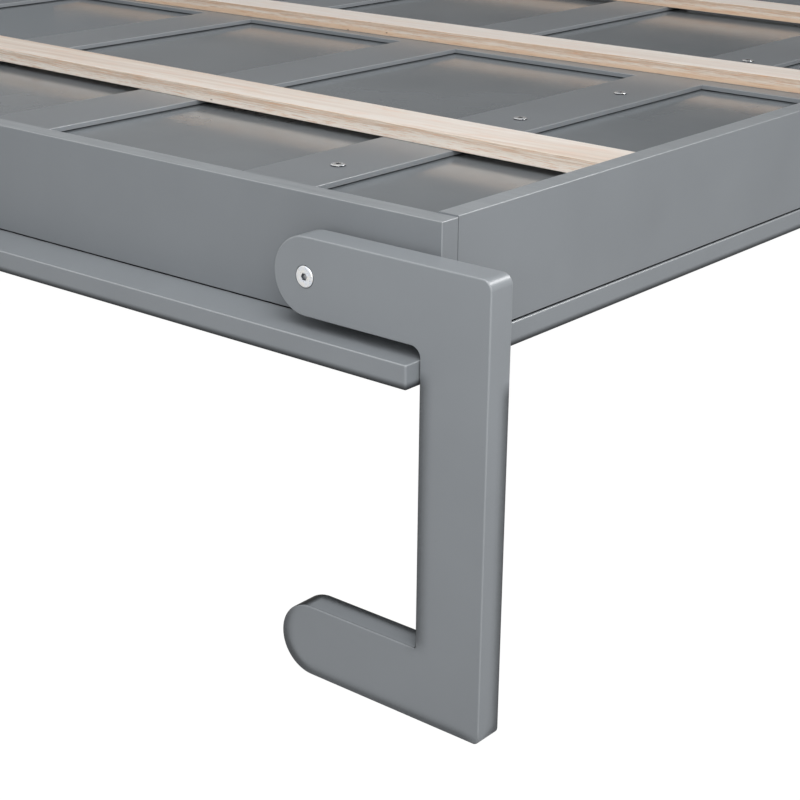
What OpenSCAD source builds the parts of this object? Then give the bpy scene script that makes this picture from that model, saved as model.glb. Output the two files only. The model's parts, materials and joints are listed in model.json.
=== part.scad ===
// Fold-down sleeping platform of a side-folding wall bed.
//
// A frame-and-panel door is the platform's floor. Four rails stand on it round the mattress, and
// three loose slats carry the mattress. A C-shaped leg turns on one bolt at each front corner. At
// the wall side the platform turns on two pins, whose flanges are screwed to the cabinet.
//
// X runs across the bed: the free edge is at +X and the wall is at -X. Y runs along the bed, and
// the left end is at -Y. Z is up. The origin is on the floor, under the middle of the outline.

/* [Platform] */
// Width of the platform over its rails, from the wall side to the free edge
platform_x = 1620; // [1300:5:2000]
// Length of the platform over its rails
platform_y = 2092; // [1740:2:2520]
// Height of the platform's floor above the room's floor
deck_z = 278; // [230:1:400]

/* [Rails] */
// Thickness of the rail boards
rail_t = 18; // [15:0.5:25]
// Height of the two end rails
end_rail_h = 91; // [85:1:160]
// Height of the front and rear rails
long_rail_h = 92; // [85:1:160]

/* [Door] */
// Thickness of the door's frame boards
board_t = 18; // [15:0.5:25]
// Width of each frame board, measured inside the rails' outer faces
board_w = 95; // [78:1:120]
// How far the door reaches past each end rail, to hide the folded leg
ledge = 42; // [35:1:60]
// How far the door reaches past the front and rear rails
lip = 2; // [0:0.5:10]
// How much further the ledges reach at the front, to meet the legs
stop_reach = 2; // [0:0.5:6]
// Thickness of the door's panels
panel_t = 5; // [3:0.5:7]
// Depth of the grooves that hold the panels and the stub tenons
groove_d = 10; // [6:0.5:14]
// Room left for a panel to swell, at each edge
panel_float = 1; // [0.5:0.5:3]
// Distance from the door's edge to the outer batten's tenon
tenon_set = 20; // [10:1:30]

/* [Slats] */
// Width of a slat
slat_w = 63; // [40:1:100]
// Thickness of a slat
slat_t = 16.5; // [12:0.5:25]
// Distance between two slats, centre to centre
slat_pitch = 512; // [380:1:620]
// Gap between a slat's end and the rail
slat_gap = 2; // [1.5:0.5:8]
// How far each loose slat lies from its even place, left to right
slat_shift = [11.5, 4.5, 13]; // [-30:0.5:30]
// How far each loose slat lies out of square, in degrees
slat_turn = [-1.5, 0.9, -2]; // [-2:0.1:2]

/* [Leg] */
// Thickness of the leg board
leg_t = 24; // [18:0.5:32]
// Width of the leg's arm and of its upright
leg_w = 59; // [45:1:75]
// Height of the foot
foot_h = 58; // [40:1:75]
// Distance from the front rail's outer face back to the leg's pivot
pivot_in = 100.5; // [70:0.5:140]
// Distance from the front rail's outer face back to the centre of the foot's round end
foot_in = 97; // [70:0.5:140]
// Gap between the door's top face and the leg's arm
arm_gap = 9.5; // [3:0.5:20]
// Gap between a ledge's end and the leg's upright, which bears on it under load
stop_gap = 1; // [0.5:0.5:3]
// Gap between the end rail and the leg, filled by the washer
leg_gap = 4.5; // [1:0.5:6]
// Radius of the corner between the arm and the upright, outside
shoulder_r = 8; // [4:1:25]
// Radius of the same corner, inside
mouth_r = 8; // [2:1:20]
// Radius of the foot's outer corner
toe_r = 5; // [2:1:20]
// Radius of the foot's inner corner
heel_r = 2; // [1:0.5:10]

/* [Leg pivot] */
// Diameter of the bolt's shank
bolt_d = 8; // [6:1:10]
// Diameter of the steel sleeve that the leg turns on
sleeve_d = 12; // [11:0.5:16]
// Diameter of the bolt's flat head
bolt_head_d = 16; // [15:0.5:24]
// Thickness of the bolt's head
bolt_head_h = 2.5; // [2:0.5:5]
// How far the head stands out of the leg's face
head_proud = 0.5; // [0:0.1:1]
// Width across the flats of the hex sockets
hex_w = 5; // [4:0.5:6]
// Diameter of the washer between the leg and the rail
washer_d = 26; // [20:1:50]
// Diameter of the nut's barrel, inside the rail
nut_d = 10; // [9.5:0.5:11]
// Diameter of the nut's flange, on the rail's inner face
nut_flange_d = 18; // [14:1:26]
// Thickness of the nut's flange
nut_flange_t = 1.5; // [1:0.5:3]

/* [Wall pivot] */
// Distance from the rear rail's outer face to the pivot's axis
wall_pivot_in = 90; // [80:1:140]
// Height of the pivot's axis above the door's top face
wall_pivot_z = 45; // [40:1:50]
// Gap between the door's end and the cabinet's side
side_gap = 3; // [1.5:0.5:8]
// Diameter of the pin
pin_d = 14; // [10:1:18]
// Diameter of the flange that is screwed to the cabinet
flange_d = 72; // [66:1:76]
// Thickness of that flange
flange_t = 4; // [3:0.5:6]
// Diameter of the circle of screw holes in the flange
flange_pcd = 54; // [48:1:56]
// Diameter of those screw holes
flange_hole_d = 5.5; // [4:0.5:6]
// Diameter of the bearing's barrel, inside the end rail
bearing_d = 20; // [20:1:24]
// Diameter of the bearing's flange
bearing_flange_d = 52; // [48:1:60]
// Thickness of the bearing's flange
bearing_flange_t = 3; // [2:0.5:5]

/* [Brackets] */
// Thickness of the steel angles
angle_t = 2; // [1.5:0.5:3]
// Leg of the small angles that hold the rails to the door
angle_leg = 30; // [25:1:40]
// Leg of the tall angles in the platform's corners
corner_leg = 40; // [30:1:50]
// Height of the tall angles
corner_h = 60; // [50:1:64]
// Diameter of the wood screws
screw_d = 4; // [3:0.5:5]
// Length of the wood screws under the head
screw_l = 14; // [10:1:16]
// Diameter of the wood screws' heads
screw_head_d = 8; // [7:0.5:10]

/* [Door pulls] */
// Distance between two pulls, centre to centre
pull_pitch = 507; // [420:1:700]
// How far the middle pull lies from the platform's middle, along the bed
pull_shift = -12.5; // [-40:0.5:40]
// Distance between a pull's two bolts
pull_span = 305; // [128:1:320]
// Distance from the second batten's front edge to the line of bolts
pull_set_in = 42; // [20:1:56]
// Gap for the fingers between a pull's bar and the door
pull_reach = 26; // [22:1:40]
// Width of a pull's bar
pull_bar_w = 12; // [10:1:20]
// Thickness of a pull's bar
pull_bar_t = 8; // [6:1:14]
// How far a bar reaches past its posts
pull_end = 20; // [8:1:40]
// Diameter of a post
pull_post_d = 10; // [9:0.5:10]
// Diameter of the pull bolts' shanks
pull_bolt_d = 5; // [4:0.5:6]
// Diameter of the pull bolts' heads
pull_head_d = 15; // [10:0.5:20]

/* [Fits] */
// Radial room round a part that turns
running_fit = 0.05; // [0.02:0.01:0.1]
// Radial room round a part that stays fixed in its hole
fixed_fit = 0.05; // [0.02:0.01:0.3]
// Room above a panel in its groove, so that it can slide as it swells
groove_play = 0.5; // [0.2:0.1:1]
// End play of a part that turns
end_play = 0.3; // [0.2:0.1:0.8]

/* [Hidden] */
$fn = 48;
cut = 1;

// The door has a panel between every two battens, in two halves either side of the cross rails.
columns = 4;
rows = 2;
slats = 3;
pulls = 3;

inner_x = platform_x - 2 * rail_t;
inner_y = platform_y - 2 * rail_t;
door_x = platform_x + 2 * lip;
open_x = (platform_x - (columns + 1) * board_w) / columns;
open_y = (platform_y - (rows + 1) * board_w) / rows;
pitch_x = board_w + open_x;
pitch_y = board_w + open_y;
groove_w = panel_t + groove_play;
groove_z = -(board_t + groove_w) / 2;

// The upright stands just past the ledge, and the outline is centred on the origin.
upright_in = lip + stop_reach + stop_gap;
leg_out = upright_in + leg_w;
mid_x = (lip - leg_out) / 2;

pivot_x = platform_x / 2 - pivot_in;
pivot_z = arm_gap + leg_w / 2;
leg_drop = deck_z + pivot_z;
counterbore_d = bolt_head_h - head_proud + end_play;
head_w = leg_gap + leg_t - counterbore_d + end_play;
leg_fit = sleeve_d / 2 + running_fit;

// The whole platform, with its ledges and its folded legs, swings between the cabinet's sides.
wall_gap = ledge + side_gap;
wall_pivot_x = wall_pivot_in - platform_x / 2;
pin_end = rail_t - 2;
bearing_screw_r = (bearing_d + bearing_flange_d) / 4 + 1;
bearing_screws_n = 3;
flange_holes_n = 4;

screw_head_h = 2.4;
screw_tip = 3;
corner_z = 20;
corner_screw_z = [0.25, 0.75] * corner_h;
angle_screw = 0.6 * angle_leg;
corner_screw = 0.6 * corner_leg;
pull_head_h = 2;
pull_grip = 10;
socket_d = 1.6;

grey = [0.5, 0.52, 0.53];
dark_grey = [0.42, 0.44, 0.45];
plywood = [0.87, 0.78, 0.68];
zinc = [0.78, 0.79, 0.8];
nylon = [0.92, 0.92, 0.88];

function corner_name(front, right) = str(
  "corner_bracket_", front ? "front_" : "rear_", right ? "right" : "left"
);
function numbered(name, n) = [for (i = [1:n]) str(name, i)];
function paired(names) = [for (name = names) for (side = ["_left", "_right"]) str(name, side)];

// ---- Places ----

// From the platform's own frame, whose Z = 0 is the door's top face
module on_platform() {
  translate([mid_x, 0, deck_z]) children();
}

// At one end of the platform: Y = 0 is the end rail's outer face and +Y is into the bed
module on_end(right) {
  on_platform() mirror([0, right, 0]) translate([0, -platform_y / 2, 0]) children();
}

// A cylinder across an end rail, from one distance outside the rail's outer face to another
module across(x, z, from, to, r) {
  translate([x, -to, z]) rotate([-90, 0, 0]) cylinder(h = to - from, r = r);
}

// In one inner corner of the rails, with +X and +Y along the two rails
module at_corner(front, right) {
  mirror([front, 0, 0]) mirror([0, right, 0])
    translate([-inner_x / 2, -inner_y / 2, corner_z]) children();
}

// At each small angle: Y = 0 is the rail's inner face and +Y is into the bed
module at_angles() {
  for (step = [-1.5:1:1.5]) {
    for (turn = [0, 180])
      rotate([0, 0, turn]) translate([step * pitch_x, -inner_y / 2, 0]) children();
    for (turn = [90, -90])
      rotate([0, 0, turn]) translate([step * slat_pitch, -inner_x / 2, 0]) children();
  }
}

// At each screw of a small angle, with the screw pointing down -Z
module at_angle_screws() {
  translate([0, angle_t, angle_screw]) rotate([-90, 0, 0]) children();
  translate([0, angle_screw, angle_t]) children();
}

// At each screw of a corner angle, with the screw pointing down -Z
module at_corner_screws() {
  for (z = corner_screw_z) {
    translate([corner_screw, angle_t, z]) rotate([-90, 0, 0]) children();
    translate([angle_t, corner_screw, z]) rotate([0, 90, 0]) children();
  }
}

// At each screw of a wall bearing's flange, with the screw pointing down -Z
module at_bearing_screws() {
  for (i = [0:bearing_screws_n - 1])
    translate([wall_pivot_x, -bearing_flange_t, wall_pivot_z]) rotate([90, 0, 0])
      rotate([0, 0, 90 + i * 360 / bearing_screws_n]) translate([bearing_screw_r, 0, 0])
        children();
}

// At each bolt of one pull, on the door's top face
module at_pull_bolts(i) {
  for (side = [-1, 1])
    translate([pull_x(), pull_y(i) + side * pull_span / 2, 0]) children();
}

function batten_front(i) = platform_x / 2 - i * pitch_x + (i == 0 ? lip : 0);
function batten_rear(i) = platform_x / 2 - i * pitch_x - board_w - (i == columns ? lip : 0);
function row_y(j) = -platform_y / 2 + j * pitch_y;
function pull_x() = batten_front(1) - pull_set_in;
function pull_y(i) = pull_shift + (i - (pulls - 1) / 2) * pull_pitch;

// ---- Small hardware ----

// A wood screw: its head is above Z = 0 and its point is below
module wood_screw() {
  r = screw_d / 2;
  head_r = screw_head_d / 2;
  difference() {
    rotate_extrude() polygon([
      [0, screw_head_h], [0.75 * head_r, screw_head_h], [head_r, 0.4 * screw_head_h],
      [head_r, 0], [r, 0], [r, screw_tip - screw_l], [0, -screw_l]
    ]);
    for (turn = [0, 90])
      rotate([0, 0, turn]) translate([0, 0, screw_head_h])
        cube([0.5 * screw_head_d, 0.12 * screw_head_d, 1.6], center = true);
  }
}

// The hole that a wood screw is driven into
module screw_hole() {
  translate([0, 0, -screw_l - cut / 2])
    cylinder(h = screw_l + cut, r = screw_d / 2 + fixed_fit);
}

// A bolt with a wide flat head above Z = 0 and a hex socket in it
module flat_bolt(d, length, head_d, head_h, socket_w) {
  difference() {
    rotate_extrude() polygon([
      [0, head_h], [head_d / 2 - 0.6, head_h], [head_d / 2, head_h - 0.6], [head_d / 2, 0],
      [d / 2, 0], [d / 2, 0.5 - length], [d / 2 - 0.5, -length], [0, -length]
    ]);
    translate([0, 0, head_h - socket_d])
      cylinder(h = socket_d + cut, d = socket_w / cos(30), $fn = 6);
  }
}

// An angle of bent steel, with its two legs along +X and +Y
module angle(leg, length) {
  linear_extrude(length) union() {
    square([leg, angle_t]);
    square([angle_t, leg]);
  }
}

// ---- Rails ----

// A board with every hole that the angles' screws need in it
module screwed() {
  difference() {
    children();
    at_angles() at_angle_screws() screw_hole();
    for (front = [0, 1]) for (right = [0, 1])
      at_corner(front, right) at_corner_screws() screw_hole();
  }
}

module end_rail(right) {
  color(grey) on_platform() difference() {
    screwed() mirror([0, right, 0]) translate([-platform_x / 2, -platform_y / 2, 0])
      cube([platform_x, rail_t, end_rail_h]);
    mirror([0, right, 0]) translate([0, -platform_y / 2, 0]) {
      across(pivot_x, pivot_z, -rail_t - cut, cut, nut_d / 2 + fixed_fit);
      across(wall_pivot_x, wall_pivot_z, -rail_t - cut, cut, bearing_d / 2 + fixed_fit);
      at_bearing_screws() screw_hole();
    }
  }
}

module long_rail(front) {
  color(grey) on_platform() screwed() mirror([front, 0, 0])
    translate([-platform_x / 2, -inner_y / 2, 0]) cube([rail_t, inner_y, long_rail_h]);
}

// ---- Door ----

// A flat board of the door, from one corner to another
module board(x0, x1, y0, y1) {
  translate([x0, y0, -board_t]) cube([x1 - x0, y1 - y0, board_t]);
}

// The middle layer of the door: a groove or a tenon, or a panel if it is that thick
module layer(x0, x1, y0, y1, thickness = groove_w) {
  translate([x0, y0, groove_z]) cube([x1 - x0, y1 - y0, thickness]);
}

module door_end(right) {
  inner_edge = board_w - platform_y / 2;
  groove_end = door_x / 2 - tenon_set;
  color(grey) on_platform() screwed() mirror([0, right, 0]) difference() {
    union() {
      board(-door_x / 2, door_x / 2, -platform_y / 2 - ledge, inner_edge);
      board(0, door_x / 2 + stop_reach, -platform_y / 2 - ledge, -platform_y / 2);
    }
    layer(-groove_end, groove_end, inner_edge - groove_d, inner_edge + cut);
  }
}

// Batten 0 is at the free edge and the last one is at the wall
module door_batten(i) {
  front = batten_front(i);
  rear = batten_rear(i);
  half = platform_y / 2 - board_w;
  tongue = half + groove_d - panel_float;
  first = i == 0;
  last = i == columns;
  color(grey) on_platform() screwed() difference() {
    union() {
      board(rear, front, -half, half);
      layer(rear + (last ? tenon_set : groove_d), front - (first ? tenon_set : groove_d),
        -tongue, tongue);
    }
    if (!first) layer(front - groove_d, front + cut, -half, half);
    if (!last) layer(rear - cut, rear + groove_d, -half, half);
    if (i == 1) for (pull = [0:pulls - 1])
      at_pull_bolts(pull) translate([0, 0, -board_t - cut])
        cylinder(h = board_t + 2 * cut, r = pull_bolt_d / 2 + fixed_fit);
  }
}

// The short rails run between the battens, along the middle of the door
module door_cross_rail(i) {
  front = batten_rear(i);
  rear = batten_front(i + 1);
  tongue = groove_d - panel_float;
  y0 = row_y(1);
  color(grey) on_platform() difference() {
    union() {
      board(rear, front, y0, y0 + board_w);
      layer(rear - tongue, front + tongue, y0 + groove_d, y0 + board_w - groove_d);
    }
    layer(rear, front, y0 - cut, y0 + groove_d);
    layer(rear, front, y0 + board_w - groove_d, y0 + board_w + cut);
  }
}

module door_panel(column, row) {
  tongue = groove_d - panel_float;
  y0 = row_y(row) + board_w;
  color(dark_grey) on_platform()
    layer(batten_front(column + 1) - tongue, batten_rear(column) + tongue,
      y0 - tongue, y0 + open_y + tongue, panel_t);
}

// ---- Slats ----

module slat(i) {
  color(plywood) on_platform()
    translate([0, (i - (slats - 1) / 2) * slat_pitch + slat_shift[i], slat_t / 2])
      rotate([0, 0, slat_turn[i]])
        cube([inner_x - 2 * slat_gap, slat_w, slat_t], center = true);
}

// ---- Angles and screws ----

module corner_bracket(front, right) {
  color(zinc) on_platform() at_corner(front, right) difference() {
    angle(corner_leg, corner_h);
    at_corner_screws() screw_hole();
  }
}

module corner_screws() {
  color(zinc) on_platform() for (front = [0, 1]) for (right = [0, 1])
    at_corner(front, right) at_corner_screws() wood_screw();
}

module rail_brackets() {
  color(zinc) on_platform() at_angles() difference() {
    translate([-angle_leg / 2, 0, 0]) rotate([90, 0, 90]) angle(angle_leg, angle_leg);
    at_angle_screws() screw_hole();
  }
}

module bracket_screws() {
  color(zinc) on_platform() at_angles() at_angle_screws() wood_screw();
}

// ---- Door pulls ----

module pull_bar(i) {
  length = pull_span + 2 * pull_end;
  color(zinc) on_platform()
    translate([pull_x() - pull_bar_w / 2, pull_y(i) - length / 2,
      -board_t - pull_reach - pull_bar_t]) cube([pull_bar_w, length, pull_bar_t]);
}

module pull_posts() {
  color(zinc) on_platform() for (i = [0:pulls - 1])
    at_pull_bolts(i) translate([0, 0, -board_t - pull_reach]) difference() {
      cylinder(h = pull_reach, d = pull_post_d);
      translate([0, 0, pull_reach - pull_grip - cut])
        cylinder(h = pull_grip + 2 * cut, r = pull_bolt_d / 2 + fixed_fit);
    }
}

module pull_bolts() {
  color(zinc) on_platform() for (i = [0:pulls - 1])
    at_pull_bolts(i)
      flat_bolt(pull_bolt_d, board_t + pull_grip, pull_head_d, pull_head_h, hex_w);
}

// ---- Legs ----

// The waste between a square corner at the origin and its round
module round_off(r) {
  difference() {
    square(r);
    translate([r, r]) circle(r);
  }
}

// The leg's outline, with the pivot at the origin and the free edge towards +X
module leg_outline() {
  arm_r = leg_w / 2;
  foot_r = foot_h / 2;
  inside = pivot_in + upright_in;
  outside = inside + leg_w;
  foot_x = pivot_in - foot_in;
  difference() {
    union() {
      circle(arm_r);
      translate([0, -arm_r]) square([outside, leg_w]);
      translate([inside, -leg_drop]) square([leg_w, leg_drop + arm_r]);
      translate([foot_x, -leg_drop]) square([outside - foot_x, foot_h]);
      translate([foot_x, foot_r - leg_drop]) circle(foot_r);
      translate([inside, -arm_r]) rotate(180) round_off(mouth_r);
      translate([inside, foot_h - leg_drop]) rotate(90) round_off(heel_r);
    }
    translate([outside, arm_r]) rotate(180) round_off(shoulder_r);
    translate([outside, -leg_drop]) rotate(90) round_off(toe_r);
  }
}

module leg(right) {
  color(grey) on_end(right) difference() {
    translate([pivot_x, -leg_gap, pivot_z]) rotate([90, 0, 0])
      linear_extrude(leg_t) leg_outline();
    across(pivot_x, pivot_z, leg_gap - cut, leg_gap + leg_t + cut, leg_fit);
    across(pivot_x, pivot_z, leg_gap + leg_t - counterbore_d, leg_gap + leg_t + cut,
      bolt_head_d / 2 + 2 * end_play);
  }
}

module leg_bolt(right) {
  color(zinc) on_end(right) translate([pivot_x, -head_w, pivot_z]) rotate([90, 0, 0])
    flat_bolt(bolt_d, head_w + rail_t, bolt_head_d, bolt_head_h, hex_w);
}

// The bolt clamps the sleeve to the rail, and the leg turns on the sleeve
module leg_sleeve(right) {
  color(zinc) on_end(right) difference() {
    across(pivot_x, pivot_z, 0, head_w, sleeve_d / 2);
    across(pivot_x, pivot_z, -cut, head_w + cut, bolt_d / 2 + fixed_fit);
  }
}

module leg_washer(right) {
  color(nylon) on_end(right) difference() {
    across(pivot_x, pivot_z, 0, leg_gap - end_play, washer_d / 2);
    across(pivot_x, pivot_z, -cut, leg_gap + cut, sleeve_d / 2 + fixed_fit);
  }
}

module leg_nut(right) {
  color(zinc) on_end(right) difference() {
    union() {
      across(pivot_x, pivot_z, -rail_t, -1, nut_d / 2);
      across(pivot_x, pivot_z, -rail_t - nut_flange_t, -rail_t, nut_flange_d / 2);
    }
    across(pivot_x, pivot_z, -rail_t - nut_flange_t - cut, cut, bolt_d / 2 + fixed_fit);
  }
}

// ---- Wall pivots ----

// A flange on the cabinet's side, with the pin that the platform turns on
module cabinet_pivot(right) {
  color(zinc) on_end(right) difference() {
    union() {
      across(wall_pivot_x, wall_pivot_z, wall_gap - flange_t, wall_gap, flange_d / 2);
      across(wall_pivot_x, wall_pivot_z, -pin_end, wall_gap - flange_t, pin_d / 2);
    }
    for (turn = [0:360 / flange_holes_n:359])
      across(wall_pivot_x + flange_pcd / 2 * cos(turn), wall_pivot_z + flange_pcd / 2 * sin(turn),
        wall_gap - flange_t - cut, wall_gap + cut, flange_hole_d / 2);
  }
}

module pivot_spacer(right) {
  color(nylon) on_end(right) difference() {
    across(wall_pivot_x, wall_pivot_z, bearing_flange_t + end_play, wall_gap - flange_t,
      bearing_d / 2);
    across(wall_pivot_x, wall_pivot_z, 0, wall_gap, pin_d / 2 + fixed_fit);
  }
}

module pivot_bearing(right) {
  color(zinc) on_end(right) difference() {
    union() {
      across(wall_pivot_x, wall_pivot_z, 0, bearing_flange_t, bearing_flange_d / 2);
      across(wall_pivot_x, wall_pivot_z, -rail_t, 0, bearing_d / 2);
    }
    across(wall_pivot_x, wall_pivot_z, -rail_t - cut, bearing_flange_t + cut,
      pin_d / 2 + running_fit);
    at_bearing_screws() screw_hole();
  }
}

module bearing_screws() {
  color(zinc) for (right = [0, 1]) on_end(right) at_bearing_screws() wood_screw();
}

// ---- Assembly ----

cabinet_pivot(0);  // cabinet_pivot_left
cabinet_pivot(1);  // cabinet_pivot_right
pivot_spacer(0);  // pivot_spacer_left
pivot_spacer(1);  // pivot_spacer_right
end_rail(0);  // end_rail_left
end_rail(1);  // end_rail_right
door_end(0);  // door_end_left
door_end(1);  // door_end_right
long_rail(1);  // front_rail
long_rail(0);  // rear_rail
for (i = [0:columns]) door_batten(i);
for (i = [0:columns - 1])
  door_cross_rail(i);
for (column = [0:columns - 1]) for (row = [0:rows - 1])
  door_panel(column, row);
for (i = [0:slats - 1]) slat(i);
for (front = [0, 1]) for (right = [0, 1])
  corner_bracket(front, right);
corner_screws();
rail_brackets();
bracket_screws();
for (i = [0:pulls - 1]) pull_bar(i);
pull_posts();
pull_bolts();
leg(0);  // leg_left
leg(1);  // leg_right
leg_bolt(0);  // leg_bolt_left
leg_bolt(1);  // leg_bolt_right
leg_sleeve(0);  // leg_sleeve_left
leg_sleeve(1);  // leg_sleeve_right
leg_washer(0);  // leg_washer_left
leg_washer(1);  // leg_washer_right
leg_nut(0);  // leg_nut_left
leg_nut(1);  // leg_nut_right
pivot_bearing(0);  // pivot_bearing_left
pivot_bearing(1);  // pivot_bearing_right
bearing_screws();
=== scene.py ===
# %% [markdown]
# # The sleeping platform of a side-folding wall bed
#
# This bed folds up into a cabinet along its long side. Only the platform is made here: a
# frame-and-panel door that is its floor, four rails round the mattress, three loose plywood
# slats, two C-shaped folding legs and the pivots at the wall. Every board is painted the same
# soft grey, so the whole look rests on eased edges, on the paint's gentle shine and on the
# bare wood of the slats.
#
# The exact model is loaded first. It is the frame that every later piece is built round.

# %% Load the frame
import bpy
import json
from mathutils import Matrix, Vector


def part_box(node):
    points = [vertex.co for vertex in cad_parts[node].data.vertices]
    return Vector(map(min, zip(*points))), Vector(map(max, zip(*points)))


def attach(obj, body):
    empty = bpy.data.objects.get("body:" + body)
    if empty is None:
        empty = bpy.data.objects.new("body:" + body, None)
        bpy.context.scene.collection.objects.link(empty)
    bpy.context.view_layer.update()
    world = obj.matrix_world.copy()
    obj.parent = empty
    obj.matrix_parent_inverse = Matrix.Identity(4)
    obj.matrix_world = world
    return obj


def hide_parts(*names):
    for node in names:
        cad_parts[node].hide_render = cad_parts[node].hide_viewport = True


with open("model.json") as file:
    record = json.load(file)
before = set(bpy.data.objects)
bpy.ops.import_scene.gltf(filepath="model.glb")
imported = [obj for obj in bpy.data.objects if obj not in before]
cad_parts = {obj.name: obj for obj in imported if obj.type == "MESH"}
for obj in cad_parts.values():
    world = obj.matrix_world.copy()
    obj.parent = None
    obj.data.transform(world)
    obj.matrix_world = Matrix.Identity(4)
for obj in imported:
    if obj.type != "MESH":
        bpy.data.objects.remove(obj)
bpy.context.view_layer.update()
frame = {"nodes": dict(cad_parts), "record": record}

# %% Names and small sizes
import json
import math

import bmesh
import bpy
from mathutils import Matrix, Vector

MM = 0.001
NODES = frame["nodes"]
ENDS = ("left", "right")
BODY_OF = {node: body for body, nodes in frame["record"]["behaviour"]["bodies"].items()
           for node in nodes}
SLOT_OF = {part["node"]: part["material_slot"] for part in frame["record"]["subparts"]}


def family(start):
    """Every node whose name starts that way, in order."""
    return sorted(name for name in NODES if name.startswith(start))


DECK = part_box("door_end_left")[1][2]
print(f"the door's top face is {DECK:.3f} m above the floor")

# %% [markdown]
# ## Small tools for making materials
#
# Materials here are node trees. They could be drawn by hand in the shader editor, but in code one
# recipe serves several finishes. A few helpers keep it short. The first ones add a node and wire
# it up. The next make a shader node group, which is a small machine with named inputs and outputs
# that several materials can share. The last name the patterns that the finishes here are made of.

# %% Helpers for shader nodes


def wire(tree, node, inputs):
    """Gives a node its inputs: each is a plain value, or another node's output to link."""
    for name, value in inputs.items():
        if isinstance(value, bpy.types.NodeSocket):
            tree.links.new(value, node.inputs[name])
        else:
            node.inputs[name].default_value = value
    return node


def add(tree, kind, inputs=None, **settings):
    """Adds a shader node, with its settings and inputs."""
    made = tree.nodes.new("ShaderNode" + kind)
    for name, value in settings.items():
        setattr(made, name, value)
    return wire(tree, made, inputs or {})


def maths(tree, operation, *values, clamp=False):
    """A Math node's output: the values are numbers or sockets."""
    return add(tree, "Math", dict(enumerate(values)), operation=operation,
               use_clamp=clamp).outputs[0]


def remap(tree, value, low, high, to_low=0.0, to_high=1.0, smooth=False):
    """Stretches low..high onto to_low..to_high, and holds the ends."""
    return add(tree, "MapRange", {"Value": value, "From Min": low, "From Max": high,
                                  "To Min": to_low, "To Max": to_high}, clamp=True,
               interpolation_type="SMOOTHSTEP" if smooth else "LINEAR").outputs["Result"]


def blend_colours(tree, share, first, second, how="MIX"):
    """One colour where share is 0, the other where it is 1."""
    node = add(tree, "Mix", data_type="RGBA", blend_type=how, clamp_factor=True)
    return wire(tree, node, {0: share, 6: first, 7: second}).outputs[2]


print("node helpers ready")

# %% Helpers for node groups
FLOAT, VECTOR = "NodeSocketFloat", "NodeSocketVector"


def new_group(name, inputs, outputs):
    """A shader node group, with its sockets made, and its two ends."""
    tree = bpy.data.node_groups.new(name, "ShaderNodeTree")
    for title, kind, value in inputs:
        socket = tree.interface.new_socket(name=title, in_out="INPUT", socket_type=kind)
        if value is not None:
            socket.default_value = value
    for title, kind in outputs:
        tree.interface.new_socket(name=title, in_out="OUTPUT", socket_type=kind)
    return tree, tree.nodes.new("NodeGroupInput"), tree.nodes.new("NodeGroupOutput")


def place_group(tree, group, inputs):
    """Puts a node group into a material, with its own values."""
    return add(tree, "Group", inputs, node_tree=group)


print("group helpers ready")

# %% Helpers for patterns


def vector(tree, operation, first, second):
    """A Vector Math node: dot products come out as a value, the rest as a vector."""
    node = add(tree, "VectorMath", {0: first, 1: second}, operation=operation)
    return node.outputs["Value" if operation == "DOT_PRODUCT" else "Vector"]


def noise(tree, where, scale, detail=3.0, rough=0.5, distortion=0.0):
    """A Noise texture's value, scale waves to the metre."""
    return add(tree, "TexNoise", {"Vector": where, "Scale": scale, "Detail": detail,
                                  "Roughness": rough, "Distortion": distortion}).outputs["Fac"]


def stretched(tree, where, size):
    """Coordinates divided by a size along each axis, so that a pattern runs long one way."""
    return add(tree, "Mapping", {"Vector": where, "Scale": [1 / s for s in size]},
               vector_type="POINT").outputs["Vector"]


print("pattern helpers ready")

# %% Helpers for surfaces


def new_material(name):
    """An empty material, its tree and its object coordinates, which are the bed's own metres."""
    made = bpy.data.materials.new(name)
    made.use_nodes = True
    made.node_tree.nodes.clear()
    where = add(made.node_tree, "TexCoord").outputs["Object"]
    return made, made.node_tree, where


def own_normal(tree):
    """The surface's normal in the piece's own axes, so that a mask turns with the piece."""
    return add(tree, "TexCoord").outputs["Normal"]


def surface(tree, shader):
    """Ends the tree in the material's output."""
    add(tree, "OutputMaterial", {"Surface": shader})


def bump(tree, height, distance, strength):
    """A Bump node's normal, for a height in 0..1 that stands distance metres tall."""
    return add(tree, "Bump", {"Height": height, "Distance": distance,
                              "Strength": strength}).outputs["Normal"]


print("surface helpers ready")

# %% [markdown]
# ## Effects that several finishes share
#
# Metal wears bright along its edges. The edges could be marked by hand, or found with Pointiness,
# which depends on how finely the mesh is cut. The Bevel node is used instead: it looks at the
# shape within a few tenths of a millimetre, so it finds every edge on any mesh.

# %% Group: worn edges


def worn_edges():
    tree, start, end = new_group(
        "Worn edges", [("Radius", FLOAT, 0.001), ("Patchiness", FLOAT, 0.5),
                       ("Position", VECTOR, None)], [("Mask", FLOAT)])
    rounded = add(tree, "Bevel", {"Radius": start.outputs["Radius"]}, samples=6)
    plain = add(tree, "NewGeometry")
    same = vector(tree, "DOT_PRODUCT", rounded.outputs["Normal"], plain.outputs["Normal"])
    edge = remap(tree, same, 0.995, 0.9)
    patches = remap(tree, noise(tree, start.outputs["Position"], 90, detail=4), 0.35, 0.65)
    kept = maths(tree, "SUBTRACT", 1.0,
                 maths(tree, "MULTIPLY", patches, start.outputs["Patchiness"]))
    tree.links.new(maths(tree, "MULTIPLY", edge, kept, clamp=True), end.inputs["Mask"])
    return tree


WORN_EDGES = worn_edges()
print("group made:", WORN_EDGES.name)

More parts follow.
